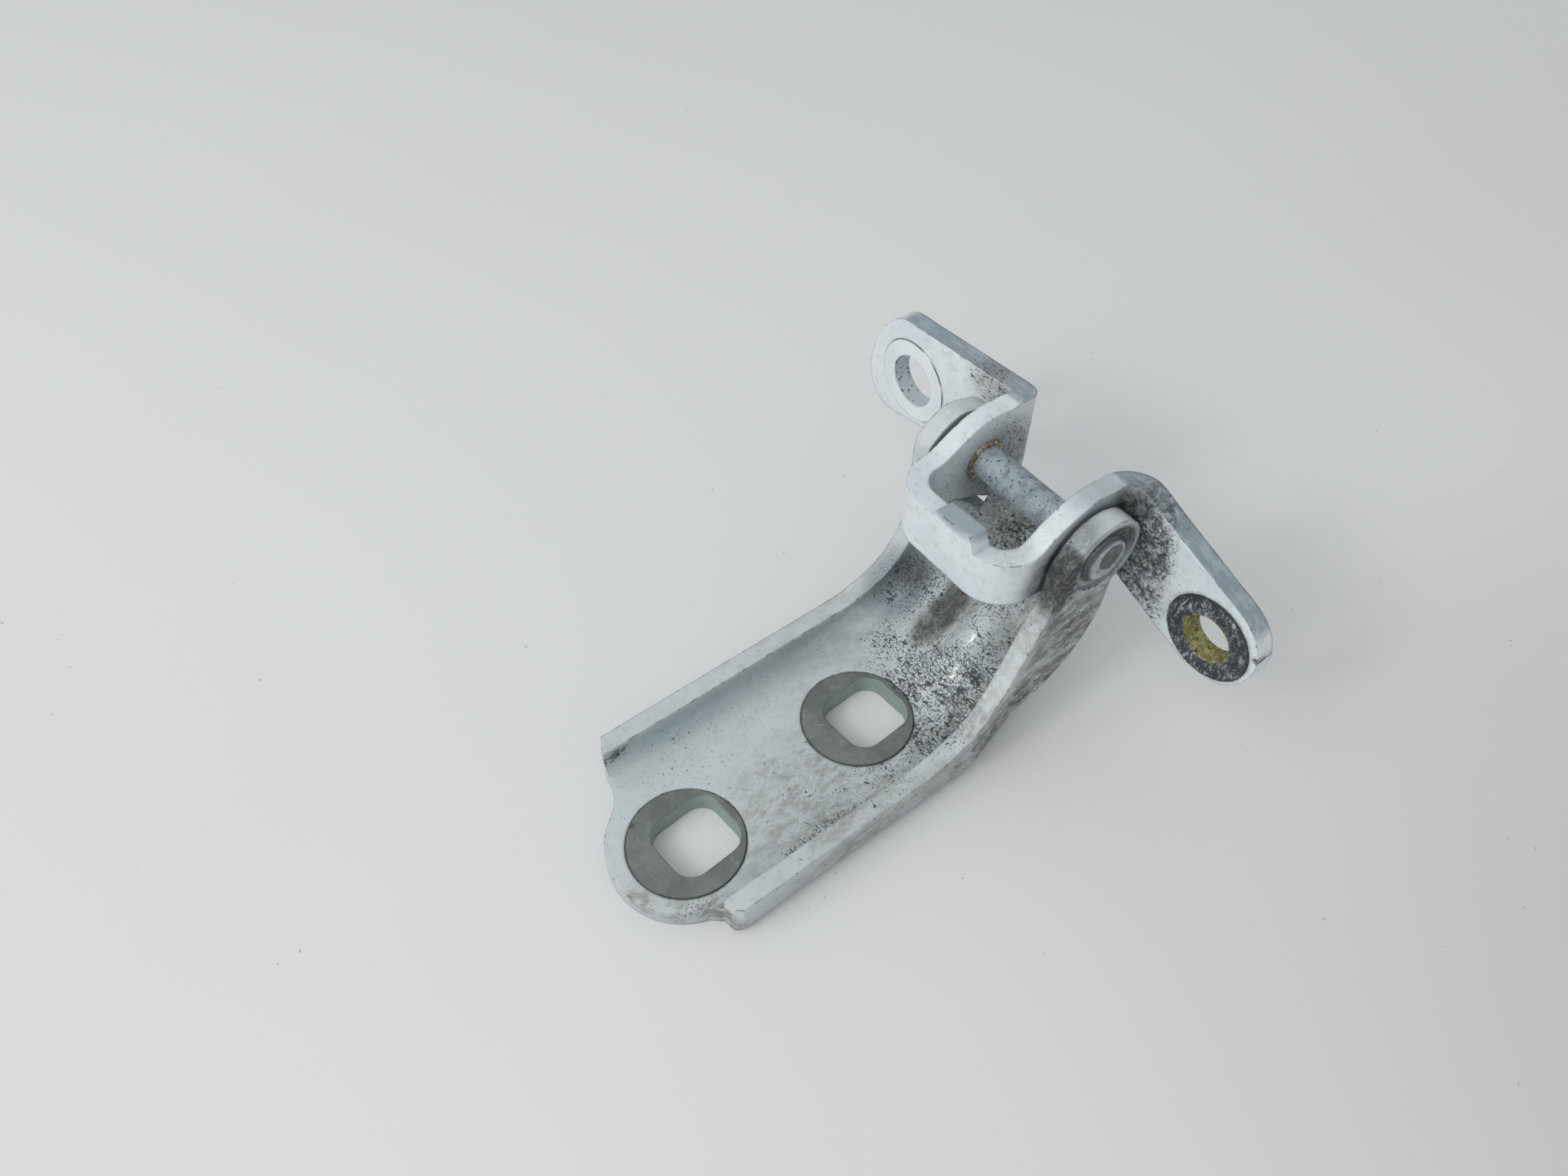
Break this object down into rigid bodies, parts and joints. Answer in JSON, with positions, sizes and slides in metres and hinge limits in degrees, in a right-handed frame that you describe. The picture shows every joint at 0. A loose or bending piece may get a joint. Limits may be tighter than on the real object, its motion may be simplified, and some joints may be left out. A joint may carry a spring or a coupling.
{
  "type": "car door hinge",
  "caption": "White painted car door hinge: a long stamped channel bracket with square bolt holes, pivoting on a riveted pin with a bent strip bracket that has two ring flanges.",
  "frame": {"origin": "middle of the front bolt washer, on the face that bolts to the body pillar", "axes": "+X along the channel from the front bolt to the pivot pin, +Y along the pin towards the wider flange ring, +Z out of the mounting face"},
  "size_m": [0.1272, 0.1234, 0.0598],
  "materials": {
    "white_paint": "gloss white paint, worn and dirty",
    "door_paint": "gloss white paint, worn and dirty",
    "washer_zinc": "grey-green zinc plate",
    "pin_steel": "dull blue-grey, partly painted",
    "bush_brass": "dull bronze, dirty",
    "ring_paint": "painted over, finely cracked",
    "ring_steel": "worn dark steel"
  },
  "bodies": {
    "body_side": {"body_bracket": "white_paint", "front_washer": "washer_zinc", "rear_washer": "washer_zinc", "hinge_pin": "pin_steel"},
    "door_side": {"door_bracket": "door_paint", "left_flange": "door_paint", "right_flange": "door_paint", "left_bush": "bush_brass", "right_bush": "bush_brass", "left_flange_ring": "ring_paint", "right_flange_ring": "ring_steel"}
  },
  "joints": [
    {"name": "door_pivot", "type": "hinge", "parent": "body_side", "child": "door_side", "pos_m": [0.0952, 0.0064, 0.048], "axis": [0, -1, 0], "range_deg": [-12, 46]}
  ]
}
